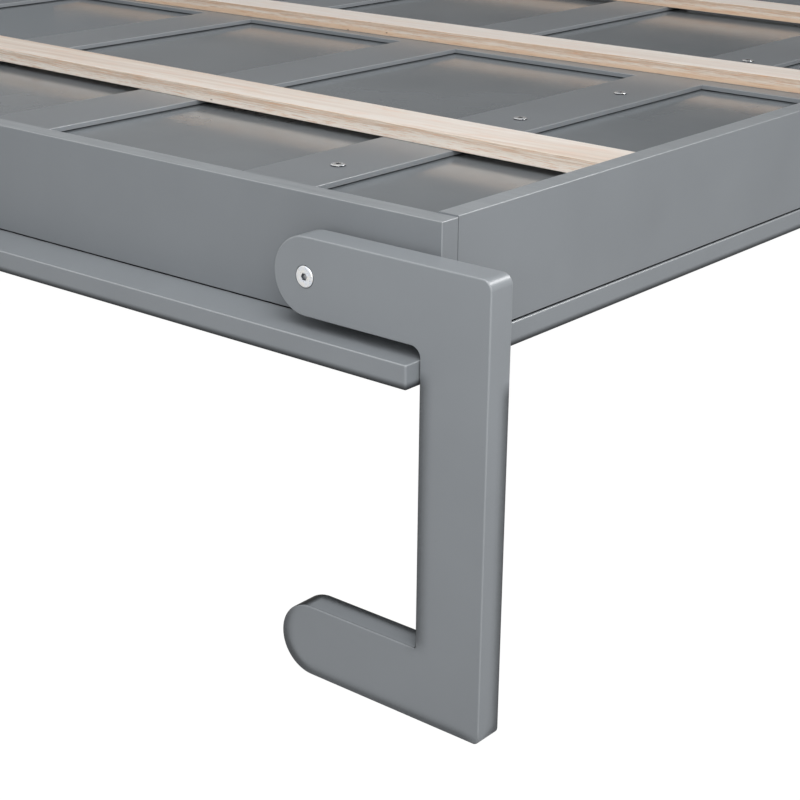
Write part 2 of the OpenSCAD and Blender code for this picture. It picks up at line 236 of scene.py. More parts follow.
# %% [markdown]
# The legs are painted darker over their last few millimetres, wherever an edge turns down or away
# from the free corner. That darkening is painted shade: soft light alone leaves those edges pale.
# The same node finds them from further off: near an edge, the rounded normal leans towards the
# face round the corner. How far it leans away from the corner is the painted shade. It is steeper
# than the lean, and stronger on faces that point up. On the eased strip itself nothing leans, so
# there the strip's own direction is used, and the foot's rounded tip has its own term. All of it
# is measured in the piece's own axes, and turns with the leg.

# %% Group: painted shade on turned edges
TIP = [-0.9, 0.0, 0.45]
RIM_STEEPNESS = 2.2
RIM_UPRIGHT, RIM_ON_TOP = 0.55, 0.85


def turned_edges():
    tree, start, end = new_group(
        "Turned edges", [("Radius", FLOAT, 0.021), ("Away", VECTOR, None), ("Eased", FLOAT, 0.0)],
        [("Shade", FLOAT)])
    rounded = add(tree, "Bevel", {"Radius": start.outputs["Radius"]}, samples=8)
    plain = add(tree, "NewGeometry").outputs["Normal"]
    own = own_normal(tree)
    lean = vector(tree, "SUBTRACT", rounded.outputs["Normal"], plain)
    lean = add(tree, "VectorTransform", {"Vector": lean}, vector_type="VECTOR",
               convert_from="WORLD", convert_to="OBJECT").outputs["Vector"]
    up = add(tree, "SeparateXYZ", {"Vector": own}).outputs["Z"]
    near = remap(tree, vector(tree, "DOT_PRODUCT", lean, start.outputs["Away"]), 0.02, 0.3,
                 smooth=True)
    near = maths(tree, "MULTIPLY", maths(tree, "POWER", near, RIM_STEEPNESS),
                 remap(tree, up, 0.5, 0.9, RIM_UPRIGHT, RIM_ON_TOP))
    turned = remap(tree, vector(tree, "DOT_PRODUCT", own, start.outputs["Away"]), -0.6, -0.3)
    strip = maths(tree, "MULTIPLY", turned, start.outputs["Eased"])
    tip = maths(tree, "MULTIPLY", remap(tree, up, 0.05, 0.3),
                remap(tree, vector(tree, "DOT_PRODUCT", own, TIP), 0.5, 0.7))
    tree.links.new(maths(tree, "MAXIMUM", near, maths(tree, "MAXIMUM", strip, tip)),
                   end.inputs["Shade"])
    return tree


TURNED_EDGES = turned_edges()
print("group made:", TURNED_EDGES.name)

# %% [markdown]
# Sprayed paint is smooth, but no board is quite flat or quite even under it. That shows as slow
# changes in shine, and here and there as a speck of dust. Both are noise, at two very different
# scales, so they come out of one group.

# %% Group: sprayed film


def sprayed_film():
    tree, start, end = new_group(
        "Sprayed film", [("Position", VECTOR, None), ("Clouds per metre", FLOAT, 7.0)],
        [("Clouds", FLOAT), ("Specks", FLOAT), ("Waves", FLOAT)])
    where = start.outputs["Position"]
    slow = noise(tree, where, start.outputs["Clouds per metre"], detail=4, rough=0.55)
    grit = noise(tree, where, 420, detail=1)
    waves = noise(tree, where, 60, detail=1)
    tree.links.new(remap(tree, slow, 0.3, 0.7), end.inputs["Clouds"])
    tree.links.new(remap(tree, grit, 0.77, 0.83), end.inputs["Specks"])
    tree.links.new(waves, end.inputs["Waves"])
    return tree


SPRAYED_FILM = sprayed_film()
print("group made:", SPRAYED_FILM.name)

# %% [markdown]
# ## The grey paint
#
# The boards are covered in a soft-sheen grey. It could be one flat colour with a shine value,
# but then every face would look like plastic. Here the colour drifts by a few percent and the
# shine drifts with it. Paint pulls thin over an eased edge, so those strips, which carry an
# attribute named edge, are paler and glossier; their paler colour is also a painted highlight.
# The faces of the rails that point up are painted paler in long strokes, as painted light from
# above. The floor panels are darker and glossier than the thick boards, but only satin on the
# door's outer side.

# %% Paint colours
PAINT = [0.222, 0.238, 0.254]
PANEL_PAINT = [0.199, 0.219, 0.235]
THIN_PAINT_AND_HIGHLIGHT = [0.5, 0.52, 0.53, 1]
LOW_SHADE_COLOUR = [0.01, 0.01, 0.01, 1]
NO_LIGHT = [0.004, 0.004, 0.005, 1]
PAINTED_SHADE_MARK = -1.0


def tone(colour, share=1.0):
    """A colour made darker or lighter by a share, with the alpha that a socket expects."""
    return [share * c for c in colour] + [1]


print("paint", [round(c, 3) for c in PAINT], "and panels", [round(c, 3) for c in PANEL_PAINT])

# %% [markdown]
# Some places get painted shade: the ground that the rails stand on, the strips inside a joint, the
# foot of the door's upright faces and the turned edges of the legs. Black colour alone isn't enough
# there, because paint mirrors a little light whatever its colour. A metal mirrors only what its
# colour lets it, so Metallic rises together with the painted shade.

# %% Mask: painted shade on the ground under the rails
RAILS = [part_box(name) for name in ("front_rail", "rear_rail", "end_rail_left", "end_rail_right")]
RAIL_MARGIN = 0.2 * MM


def between(tree, value, low, high):
    """1 where a value lies between two limits, and 0 elsewhere."""
    above = maths(tree, "GREATER_THAN", value, low)
    return maths(tree, "MULTIPLY", above, maths(tree, "LESS_THAN", value, high))


def shade_under_the_rails(tree, where, height):
    """1 on the ground that the four rails stand on, where shade is painted, and 0 beside it."""
    place = add(tree, "SeparateXYZ", {"Vector": where})
    front, rear, left, right = RAILS
    outer = maths(tree, "MULTIPLY",
                  between(tree, place.outputs["X"], rear[0][0] + RAIL_MARGIN,
                          front[1][0] - RAIL_MARGIN),
                  between(tree, place.outputs["Y"], left[0][1] + RAIL_MARGIN,
                          right[1][1] - RAIL_MARGIN))
    inner = maths(tree, "MULTIPLY",
                  between(tree, place.outputs["X"], rear[1][0] - RAIL_MARGIN,
                          front[0][0] + RAIL_MARGIN),
                  between(tree, place.outputs["Y"], left[1][1] - RAIL_MARGIN,
                          right[0][1] + RAIL_MARGIN))
    return maths(tree, "MULTIPLY", maths(tree, "SUBTRACT", outer, inner),
                 remap(tree, height, DECK - MM, DECK - 0.5 * MM))


print("the rails stand on a ring", round(RAILS[0][1][0] - RAILS[1][0][0], 3), "m wide")

# %% Masks: painted shade on the legs' rims and the door's foot
LEG_FADE = 0.012
LEDGE_BAND, BAND_DEPTH = 0.006, 0.8
AWAY = [-0.5, 0.62, -0.4]


def leg_shade(tree, height, eased, top):
    """The painted shade along a leg's turned edges, which fades out at the height named top."""
    rim = place_group(tree, TURNED_EDGES, {"Away": AWAY, "Eased": eased}).outputs["Shade"]
    return maths(tree, "MULTIPLY", rim, remap(tree, height, top + LEG_FADE, top))


def foot_shade(tree, height, up, bottom):
    """A painted shade band at the foot of upright faces, strongest at the height bottom."""
    upright = remap(tree, maths(tree, "ABSOLUTE", up), 0.95, 0.7)
    band = remap(tree, height, bottom, bottom + LEDGE_BAND, BAND_DEPTH, 0, smooth=True)
    return maths(tree, "MULTIPLY", band, upright)


print("masks ready")

# %% Mask: painted light on the tops


def lit_top_strokes(tree, where, up, most):
    """Painted light: long pale strokes on the faces that point up."""
    strokes = noise(tree, stretched(tree, where, (0.035, 0.004, 0.035)), 1.0, detail=4)
    return maths(tree, "MULTIPLY", remap(tree, strokes, 0.3, 0.7, 0.5 * most, 1.5 * most),
                 remap(tree, up, 0.7, 0.95))


print("rubbed tops ready")

# %% Material: grey paint
SHADE_DEPTH, SHADE_TONE = 0.95, 0.06
LOW_SHADE_REACH, LOW_SHADE_SHARE = 0.32, 0.11
UNDER_DARK = 0.65


def grey_paint(name, colour, roughness, drift=0.05, edge_tint=0.3, top_tint=0.0, turned=None,
               low_edge=None, shiny=0.5, ior=1.5, underside=None):
    """A grey. turned and low_edge are heights: of a leg's painted rim shade and of the door's."""
    made, tree, where = new_material(name)
    height = add(tree, "SeparateXYZ", {"Vector": where}).outputs["Z"]
    up = add(tree, "SeparateXYZ", {"Vector": own_normal(tree)}).outputs["Z"]
    eased = add(tree, "Attribute", attribute_name="edge").outputs["Fac"]
    film = place_group(tree, SPRAYED_FILM, {"Position": where})
    clouds = film.outputs["Clouds"]

    tint = blend_colours(tree, clouds, tone(colour, 1 - drift), tone(colour, 1 + drift))
    # The eased strips are paler: thin paint, and a painted highlight.
    tint = blend_colours(tree, maths(tree, "MULTIPLY", eased, edge_tint), tint, THIN_PAINT_AND_HIGHLIGHT)
    # Painted light: paler strokes on the faces that point up.
    if top_tint:
        tint = blend_colours(tree, lit_top_strokes(tree, where, up, top_tint), tint, THIN_PAINT_AND_HIGHLIGHT)
    tint = blend_colours(tree, maths(tree, "MULTIPLY", film.outputs["Specks"], 0.2), tint,
                         tone(colour, 0.6))
    shine = maths(tree, "SUBTRACT", remap(tree, clouds, 0, 1, roughness - 0.02, roughness + 0.03),
                  maths(tree, "MULTIPLY", eased, 0.06))
    if underside is not None:
        shine = remap(tree, up, -0.5, 0.5, underside, shine)
        tint = blend_colours(tree, remap(tree, up, 0.5, -0.5, 0.0, UNDER_DARK), tint, NO_LIGHT)

    # Painted shade: the black joint strips, and below, the ground under the rails.
    dark = maths(tree, "MULTIPLY", eased, PAINTED_SHADE_MARK, clamp=True)
    shade = None
    if turned is not None:
        # Painted shade: the leg's colour darkens towards the floor.
        low_shade = remap(tree, height, 0.0, LOW_SHADE_REACH, LOW_SHADE_SHARE, 0.0)
        tint = blend_colours(tree, low_shade, tint, LOW_SHADE_COLOUR)
        shade = leg_shade(tree, height, eased, turned)
    if low_edge is not None:
        dark = maths(tree, "MAXIMUM", dark, shade_under_the_rails(tree, where, height))
        shade = foot_shade(tree, height, up, low_edge)
    tint = blend_colours(tree, dark, tint, NO_LIGHT)
    # Painted shade on the legs' rims and the door's foot: darker colour and more Metallic.
    if shade is not None:
        tint = blend_colours(tree, maths(tree, "MULTIPLY", shade, SHADE_DEPTH), tint,
                             tone(colour, SHADE_TONE))
        dark = maths(tree, "MAXIMUM", dark, shade)

    paint = add(tree, "BsdfPrincipled", {
        "Base Color": tint, "Roughness": shine, "Metallic": dark,
        "Specular IOR Level": shiny, "IOR": ior,
        "Normal": bump(tree, film.outputs["Waves"], 0.00002, 0.2)})
    surface(tree, paint.outputs["BSDF"])
    return made


print("paint recipe ready")

# %% [markdown]
# One recipe with different numbers makes the four greys. The legs are a tenth paler than the rails,
# the door a little glossier, and the thin panels are sprayed in a darker, glassy coat. That coat
# mirrors so much that on the outer side, which faces the room when the bed is folded away, it is
# dulled and darkened to match the boards round it.

# %% Four greys
door_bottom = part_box("door_end_left")[0][2]
painted_rail = grey_paint("grey_paint_rail", PAINT, 0.36, edge_tint=0.2, top_tint=0.17)
painted_door = grey_paint("grey_paint_door", [1.04 * c for c in PAINT], 0.31,
                          low_edge=door_bottom, edge_tint=0.32)
painted_leg = grey_paint("grey_paint_leg", [1.10 * c for c in PAINT], 0.36, drift=0.04,
                         turned=door_bottom, edge_tint=0.12)
painted_panel = grey_paint("grey_paint_panel", PANEL_PAINT, 0.15, drift=0.06, shiny=1.0,
                           ior=2.0, underside=0.5)
print("paints:", painted_rail.name, painted_door.name, painted_leg.name, painted_panel.name)

# %% [markdown]
# ## The plywood
#
# Plywood has two quite different looks. Its faces are peeled veneer, with long soft grain along
# the slat. Its edges show the plies: a brown, pitted one just under the top where the cut goes
# across the grain, and pale streaky ones below it. Both looks are mixed in one material. The face
# normal says which one shows, and the height within the slat says which ply it is. The farther
# slats are sawn from another sheet, with a browner edge and a paler face.

# %% Plywood colours
PLY_CREAM = [0.99, 0.90, 0.80, 1]
PLY_TAN = [0.90, 0.69, 0.51, 1]
PLY_PALE = [0.94, 0.88, 0.81, 1]
PLY_MID = [0.88, 0.77, 0.66, 1]
PLY_BROWN = [0.70, 0.53, 0.40, 1]
PLY_DARK = [0.42, 0.28, 0.19, 1]
PLY_RUST = [0.76, 0.46, 0.28, 1]
PLY_PIT = [0.14, 0.08, 0.05, 1]
VENEER_PALE = [0.88, 0.80, 0.72, 1]
VENEER_GRAIN = [0.70, 0.57, 0.47, 1]
VENEER_LINES = [0.66, 0.52, 0.42, 1]
VENEER_BLEACHED = [0.91, 0.86, 0.81, 1]
VENEER_CLOUD = [0.80, 0.69, 0.60, 1]
VENEER_BLUSH = [0.82, 0.62, 0.50, 1]
SECOND_FACE = [0.93, 0.89, 0.85, 1]
SECOND_EDGE = [0.945, 0.905, 0.87, 1]
SHEET_CHANGE = (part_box("slat_1")[1][1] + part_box("slat_2")[0][1]) / 2
print(f"the second sheet's slats lie beyond y = {SHEET_CHANGE:.3f} m")

# %% The veneer on a slat's faces


def lay_over(tree, colour, *masks):
    """Lays (mask, colour) pairs over a colour, one after the other."""
    for mask, over in masks:
        colour = blend_colours(tree, mask, colour, over)
    return colour


def veneer(tree, where, grain, second):
    """The peeled face: grain, fine lines, bleached lengths, clouds and a reddish blush."""
    lines = noise(tree, stretched(tree, where, (0.11, 0.0022, 0.0022)), 1.0, detail=4, rough=0.6)
    bleached = noise(tree, stretched(tree, where, (0.9, 0.05, 0.05)), 1.0, detail=3)
    cloud = noise(tree, where, 9, detail=3)
    blush = noise(tree, stretched(tree, where, (0.05, 0.011, 0.011)), 1.0, detail=5, rough=0.6)
    return lay_over(tree, VENEER_PALE,
                    (remap(tree, grain, 0.38, 0.64), VENEER_GRAIN),
                    (remap(tree, lines, 0.52, 0.72, 0, 0.5), VENEER_LINES),
                    (remap(tree, bleached, 0.42, 0.7, 0, 0.7), VENEER_BLEACHED),
                    (remap(tree, cloud, 0.5, 0.75, 0, 0.35), VENEER_CLOUD),
                    (remap(tree, blush, 0.5, 0.66, 0, 0.5), VENEER_BLUSH),
                    (maths(tree, "MULTIPLY", second, 0.35), SECOND_FACE))


print("veneer ready, in six layers over its pale ground")

# %% The plies on a slat's edges


def pits_in(tree, where):
    """Small open pits, gathered where a slow noise is high."""
    cells = add(tree, "TexVoronoi", {"Vector": stretched(tree, where, (0.045, 0.045, 0.02)),
                                     "Scale": 1.0, "Randomness": 1.0}, feature="F1")
    return maths(tree, "MULTIPLY", remap(tree, cells.outputs["Distance"], 0.06, 0.035),
                 remap(tree, noise(tree, where, 11, detail=1), 0.56, 0.6))


def plies(tree, where, level, hairs, pit, second):
    """The sawn edge. level is 0 at the slat's underside and 1 at its top."""
    wander = remap(tree, noise(tree, stretched(tree, where, (0.16, 1, 0.05)), 1.0, detail=4),
                   0.3, 0.7, -0.16, 0.16)
    ply = maths(tree, "ADD", level, wander)
    streaks = noise(tree, stretched(tree, where, (0.09, 0.01, 0.0016)), 1.0, detail=6, rough=0.66)
    rust = noise(tree, stretched(tree, where, (0.03, 0.006, 0.0011)), 1.0, detail=6, rough=0.65)
    upper = maths(tree, "MULTIPLY", remap(tree, ply, 0.54, 0.7, smooth=True),
                  remap(tree, streaks, 0.36, 0.60, 0.15, 1.0))
    lower = maths(tree, "MULTIPLY", remap(tree, ply, 0.5, 0.25, smooth=True), 0.9)
    hairlines = maths(tree, "MULTIPLY", remap(tree, hairs, 0.55, 0.68, 0, 0.7),
                      remap(tree, ply, 0.25, 0.65, 0.25, 1.0))
    edge = lay_over(tree, PLY_PALE,
                    (remap(tree, streaks, 0.36, 0.66), PLY_MID),
                    (upper, PLY_BROWN),
                    (lower, blend_colours(tree, second, PLY_CREAM, PLY_TAN)),
                    (hairlines, PLY_DARK),
                    (remap(tree, rust, 0.53, 0.61, 0, 0.65), PLY_RUST),
                    (maths(tree, "MULTIPLY", pit, 0.8), PLY_PIT))
    return blend_colours(tree, second, edge, SECOND_EDGE, how="MULTIPLY")


print("plies ready: a brown one near the top, pale ones below")

# %% Material: plywood


def plywood_slat(name, bottom, thickness):
    made, tree, where = new_material(name)
    place = add(tree, "SeparateXYZ", {"Vector": where})
    level = remap(tree, place.outputs["Z"], bottom, bottom + thickness)
    second = remap(tree, place.outputs["Y"], SHEET_CHANGE, SHEET_CHANGE + MM)
    grain = noise(tree, stretched(tree, where, (0.5, 0.012, 0.012)), 1.0, detail=7, rough=0.62,
                  distortion=0.6)
    hairs = noise(tree, stretched(tree, where, (0.022, 0.002, 0.0006)), 1.0, detail=5, rough=0.62)
    pit = pits_in(tree, where)

    up = add(tree, "SeparateXYZ", {"Vector": own_normal(tree)}).outputs["Z"]
    flat = remap(tree, maths(tree, "ABSOLUTE", up), 0.55, 0.8, smooth=True)
    colour = blend_colours(tree, flat, plies(tree, where, level, hairs, pit, second),
                           veneer(tree, where, grain, second))
    eased = add(tree, "Attribute", attribute_name="edge").outputs["Fac"]
    colour = blend_colours(tree, maths(tree, "MULTIPLY", eased, 0.25), colour, PLY_CREAM)

    relief = maths(tree, "ADD", maths(tree, "MULTIPLY", grain, 0.6),
                   maths(tree, "MULTIPLY", hairs, remap(tree, flat, 1, 0, 0, 0.7)))
    relief = maths(tree, "SUBTRACT", relief, pit)
    wood = add(tree, "BsdfPrincipled", {
        "Base Color": colour, "Roughness": remap(tree, grain, 0.3, 0.7, 0.58, 0.72),
        "Normal": bump(tree, relief, 0.00025, 0.6), "Specular IOR Level": 0.35})
    surface(tree, wood.outputs["BSDF"])
    return made


slat_low, slat_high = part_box("slat_2")
plywood = plywood_slat("plywood_slat", slat_low[2], slat_high[2] - slat_low[2])
print(f"plywood: a slat is {1000 * (slat_high[2] - slat_low[2]):.1f} mm thick")

# %% [markdown]
# ## The metals
#
# Screws, bolts and angles are zinc plated. Zinc isn't a mirror: it is a bright grey metal with a
# fine haze, and in patches it turns a little blue or straw-coloured. Sockets and slots are painted
# dark, as painted shade in the hollows. An Ambient Occlusion node finds them, because it measures
# how closed-in each point is. The bolts that show are bright passivated zinc, milkier than bare
# metal, so their Metallic stays below 1.

# %% Material: zinc plate
ZINC_RIM = [0.86, 0.87, 0.88, 1]
ZINC_HOLLOW_SHADE = [0.04, 0.05, 0.065, 1]
HOLLOW_REACH = 0.006


def zinc_plate(name, colour, roughness, patch_size, metallic=1.0):
    made, tree, where = new_material(name)
    patches = noise(tree, where, 1 / patch_size, detail=4)
    haze = noise(tree, where, 900, detail=2)
    tint = blend_colours(tree, remap(tree, patches, 0.35, 0.65),
                         [colour[0] * 0.96, colour[1], colour[2] * 1.05, 1],
                         [colour[0] * 1.05, colour[1] * 1.01, colour[2] * 0.93, 1])
    edges = place_group(tree, WORN_EDGES, {"Radius": 0.0004, "Position": where,
                                           "Patchiness": 0.3})
    tint = blend_colours(tree, maths(tree, "MULTIPLY", edges.outputs["Mask"], 0.4), tint, ZINC_RIM)
    shine = remap(tree, haze, 0.3, 0.7, roughness - 0.05, roughness + 0.07)
    hollow = add(tree, "AmbientOcclusion", {"Distance": HOLLOW_REACH}, samples=8).outputs["AO"]
    hollow_shade = remap(tree, hollow, 0.85, 0.5, 0, 0.95)
    metal = add(tree, "BsdfPrincipled", {
        "Base Color": blend_colours(tree, hollow_shade, tint, ZINC_HOLLOW_SHADE),
        "Metallic": metallic, "Roughness": shine, "Normal": bump(tree, haze, 0.00002, 0.4)})
    surface(tree, metal.outputs["BSDF"])
    return made


bolt_zinc = zinc_plate("zinc_bolt", [0.93, 0.94, 0.96], 0.30, 0.004, metallic=0.35)
head_zinc = zinc_plate("zinc_pull_bolt", [0.88, 0.89, 0.91], 0.24, 0.004, metallic=0.75)
screw_zinc = zinc_plate("zinc_screw", [0.62, 0.63, 0.65], 0.34, 0.003)
angle_zinc = zinc_plate("zinc_angle", [0.55, 0.56, 0.58], 0.42, 0.012)
print("zinc finishes made")

# %% [markdown]
# The pulls are solid bar with a brushed finish, where long scratches run one way and stretch each
# highlight across them. The pivots were turned on a lathe, which leaves fine rings round their
# axis. Both are one noise texture: it is stretched along the bar for the pulls, and read by the
# distance from the axis for the pivots.

# %% Material: brushed steel


def brushed_steel(name, colour, stroke, roughness):
    """Steel whose scratches are long along one axis: stroke is their size along X, Y and Z."""
    made, tree, where = new_material(name)
    scratches = noise(tree, stretched(tree, where, stroke), 1.0, detail=6, rough=0.65)
    cloud = noise(tree, where, 25, detail=2)
    tint = blend_colours(tree, remap(tree, scratches, 0.3, 0.7), tone(colour, 0.86),
                         tone(colour, 1.12))
    rough = remap(tree, scratches, 0.3, 0.7, roughness - 0.06, roughness + 0.06)
    shine = maths(tree, "ADD", rough, remap(tree, cloud, 0.3, 0.7, -0.02, 0.03))
    metal = add(tree, "BsdfPrincipled", {
        "Base Color": tint, "Metallic": 1.0, "Roughness": shine,
        "Normal": bump(tree, scratches, 0.00002, 0.5)})
    surface(tree, metal.outputs["BSDF"])
    return made


pull_steel = brushed_steel("brushed_pull_steel", [0.56, 0.56, 0.57], (0.0006, 0.05, 0.0006), 0.30)
print("made", pull_steel.name)

# %% Material: turned steel


def turned_steel(name, colour, centre, roughness):
    """Steel with lathe rings round an axis along Y through centre, an (x, z) pair."""
    made, tree, where = new_material(name)
    split = add(tree, "SeparateXYZ", {"Vector": where})
    dx = maths(tree, "SUBTRACT", split.outputs["X"], centre[0])
    dz = maths(tree, "SUBTRACT", split.outputs["Z"], centre[1])
    radius = maths(tree, "SQRT", maths(tree, "ADD", maths(tree, "POWER", dx, 2.0),
                                       maths(tree, "POWER", dz, 2.0)))
    ring = add(tree, "CombineXYZ", {"X": radius, "Y": maths(tree, "MULTIPLY",
                                                            split.outputs["Y"], 0.5)})
    rings = noise(tree, ring.outputs["Vector"], 1600, detail=3)
    cloud = noise(tree, where, 60, detail=3)
    tint = blend_colours(tree, remap(tree, cloud, 0.3, 0.7), tone(colour, 0.93),
                         tone(colour, 1.06))
    metal = add(tree, "BsdfPrincipled", {
        "Base Color": tint, "Metallic": 1.0,
        "Roughness": remap(tree, rings, 0.3, 0.7, roughness - 0.06, roughness + 0.06),
        "Normal": bump(tree, rings, 0.00003, 0.5)})
    surface(tree, metal.outputs["BSDF"])
    return made


wall_low, wall_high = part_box("cabinet_pivot_left")
wall_axis = ((wall_low[0] + wall_high[0]) / 2, (wall_low[2] + wall_high[2]) / 2)
pivot_steel = turned_steel("turned_pivot_steel", [0.52, 0.53, 0.55], wall_axis, 0.36)
print("made", pivot_steel.name, "round the axis at", [round(v, 4) for v in wall_axis])

# %% [markdown]
# ## Nylon
#
# The washers and spacers are natural nylon: milky, a little see-through at thin edges, and never
# quite glossy. A touch of subsurface scattering gives the milkiness, and a fine noise breaks up
# the shine.

# %% Material: nylon
NYLON_DULL = [0.74, 0.73, 0.66, 1]
NYLON_MILKY = [0.83, 0.82, 0.77, 1]


def natural_nylon(name):
    made, tree, where = new_material(name)
    mottle = noise(tree, where, 160, detail=3)
    colour = blend_colours(tree, remap(tree, mottle, 0.3, 0.7), NYLON_DULL, NYLON_MILKY)
    plastic = add(tree, "BsdfPrincipled", {
        "Base Color": colour, "Roughness": remap(tree, mottle, 0.3, 0.7, 0.42, 0.55),
        "Subsurface Weight": 0.15, "Subsurface Scale": 0.002,
        "Normal": bump(tree, mottle, 0.00003, 0.4)})
    surface(tree, plastic.outputs["BSDF"])
    return made


nylon = natural_nylon("natural_nylon")
FINISH = {
    "painted_rail": painted_rail, "painted_door": painted_door, "painted_panel": painted_panel,
    "painted_leg": painted_leg, "plywood": plywood, "galvanised_steel": angle_zinc,
    "screw_zinc": screw_zinc, "bolt_zinc": bolt_zinc, "pull_steel": pull_steel,
    "pivot_steel": pivot_steel, "nylon": nylon,
}
print("finishes for", len(FINISH), "slots")

# %% [markdown]
# ## Finishing the exact pieces
#
# The metal parts, washers and thin panels already have their true shape, so they are kept as they
# are. Each gets the finish of its slot, and the brackets and pull bars also have their sharp
# corners broken by a Bevel modifier. The imported mesh is split at every sharp edge, so a Weld
# modifier joins it up first, or the bevel would find nothing to round.

# %% Dress the exact pieces


def finish_node(name, ease=None):
    node = NODES[name]
    for place in node.material_slots:
        place.link = "OBJECT"
        place.material = FINISH[SLOT_OF[name]]
    if ease:
        weld = node.modifiers.new("Join the faces", "WELD")
        weld.merge_threshold = 0.01 * MM
        rounding = node.modifiers.new("Break the edges", "BEVEL")
        rounding.width = ease
        rounding.segments = 2
        rounding.limit_method = "ANGLE"
        rounding.angle_limit = math.radians(35)
        flat = node.modifiers.new("Keep faces flat", "WEIGHTED_NORMAL")
        flat.keep_sharp = True


METAL_EASE = 0.4 * MM
for name in NODES:
    finish_node(name)
for name in family("corner_bracket") + ["rail_brackets"] + family("pull_bar"):
    finish_node(name, ease=METAL_EASE)
print("dressed", len(NODES), "nodes")

# %% [markdown]
# ## Boards with eased edges
#
# A painter sands each sharp corner off a board, because paint won't hold on one. That small
# round, about a millimetre, is what draws the bright line along every edge. A Bevel modifier
# could do it, but it would also round the rims of the screw holes and the thin grooves. So each
# board is copied, its flat faces are cleaned up, and only the edges that a hand would sand are
# rounded. The copy then stands for the board.

# %% Tools: copy a board and ease its edges


def clean_copy(name):
    """The node's mesh, joined up, with its flat faces in one piece."""
    mesh = bmesh.new()
    mesh.from_mesh(NODES[name].data)
    bmesh.ops.remove_doubles(mesh, verts=mesh.verts, dist=1e-6)
    bmesh.ops.dissolve_limit(mesh, angle_limit=math.radians(0.2), verts=mesh.verts,
                             edges=mesh.edges)
    return mesh


def ease(mesh, chosen, width, segments=3, thinned=1.0):
    """Rounds the sharp edges for which chosen(edge) is true, and marks the strips it makes."""
    mark = mesh.faces.layers.float.get("edge") or mesh.faces.layers.float.new("edge")
    sharp = [e for e in mesh.edges if len(e.link_faces) == 2
             and e.calc_face_angle(0) > math.radians(35) and chosen(e)]
    made = bmesh.ops.bevel(mesh, geom=sharp, offset=width, offset_type="OFFSET",
                           segments=segments, profile=0.5, affect="EDGES", clamp_overlap=False)
    for face in made["faces"]:
        face[mark] = thinned
    return len(sharp)


print("easing tools ready")

# %% Tools: let the copy stand for its node


def stand_for(mesh, name, material):
    """Turns a finished bmesh into the visible piece that stands for a node."""
    mesh.normal_update()
    data = bpy.data.meshes.new(name + "_eased")
    mesh.to_mesh(data)
    mesh.free()
    data.shade_smooth()
    data.set_sharp_from_angle(angle=math.radians(40))
    piece = bpy.data.objects.new(name + "_eased", data)
    bpy.context.scene.collection.objects.link(piece)
    piece.data.materials.append(material)
    flat = piece.modifiers.new("Keep faces flat", "WEIGHTED_NORMAL")
    flat.keep_sharp = True
    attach(piece, BODY_OF[name])
    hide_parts(name)
    return piece


def on_outline(name, tolerance=1e-5):
    """A test for edges that lie along the outline box of a node."""
    low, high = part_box(name)

    def test(edge):
        touching = 0
        for axis in range(3):
            a, b = (v.co[axis] for v in edge.verts)
            for limit in (low[axis], high[axis]):
                touching += abs(a - limit) < tolerance and abs(b - limit) < tolerance
        return touching >= 2

    return test


print("standing tools ready")

# %% [markdown]
# The rails aren't rounded where they stand on the door. A joiner may cut that edge back a little,
# so that the joint closes at the front, and here it shows as a hairline of shadow. That strip is
# marked with -1 in the edge attribute and painted black, as painted shade. The two long rails
# stand between the end rails, and they stop a fraction of a millimetre short of them.

# %% Ease the rails
RAIL_EASE = 0.7 * MM
JOINT_RISE = 1.2 * MM
JOINT_DEPTH = 8.0 * MM
JOINT_GAP = 0.4 * MM


def cut_back(mesh, low, high):
    """Slopes the board's lowest strip inwards on every side."""
    level = low[2] + JOINT_RISE
    bmesh.ops.bisect_plane(mesh, geom=mesh.verts[:] + mesh.edges[:] + mesh.faces[:], dist=1e-7,
                           plane_co=(0, 0, level), plane_no=(0, 0, 1))
    for vert in mesh.verts:
        if vert.co.z < low[2] + 0.2 * MM:
            for axis in (0, 1):
                for limit, way in ((low[axis], 1), (high[axis], -1)):
                    if abs(vert.co[axis] - limit) < RAIL_EASE + 0.1 * MM:
                        vert.co[axis] = limit + way * JOINT_DEPTH
    mark = mesh.faces.layers.float["edge"]
    for face in mesh.faces:
        if max(v.co.z for v in face.verts) < level + 0.01 * MM:
            face[mark] = PAINTED_SHADE_MARK


for name in ["end_rail_left", "end_rail_right", "front_rail", "rear_rail"]:
    board = clean_copy(name)
    low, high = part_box(name)
    outline = on_outline(name)
    if "end" not in name:
        for vert in board.verts:
            for limit, way in ((low[1], 1), (high[1], -1)):
                if abs(vert.co.y - limit) < 1e-5:
                    vert.co.y = limit + way * JOINT_GAP

    def upper(edge, outline=outline, floor=low[2] + MM):
        return outline(edge) and max(v.co.z for v in edge.verts) > floor

    count = ease(board, upper, RAIL_EASE)
    cut_back(board, low, high)
    stand_for(board, name, painted_rail)
    print(name, "eased along", count, "edges")

# %% Ease the slats
SLAT_EASE = 0.8 * MM
for name in family("slat_"):
    board = clean_copy(name)
    count = ease(board, lambda edge: True, SLAT_EASE, segments=2)
    stand_for(board, name, plywood)
    print(name, "eased along", count, "edges")

# %% [markdown]
# ## The pull bolts
#
# Each pull is held by two bolts whose heads stand on the boards. A cold-formed head has no sharp
# corner: its top rolls over into its side. The bolts are one group of separate solids, so each
# head's rim is found from the middle of its own solid.

# %% Round the pull bolts' heads
HEAD_EASE = 1.3 * MM


def solids_of(mesh):
    """The vertices of each separate solid in a mesh."""
    waiting, found = set(mesh.verts), []
    while waiting:
        reached = [waiting.pop()]
        for vert in reached:
            for edge in vert.link_edges:
                other = edge.other_vert(vert)
                if other in waiting:
                    waiting.remove(other)
                    reached.append(other)
        found.append(reached)
    return found


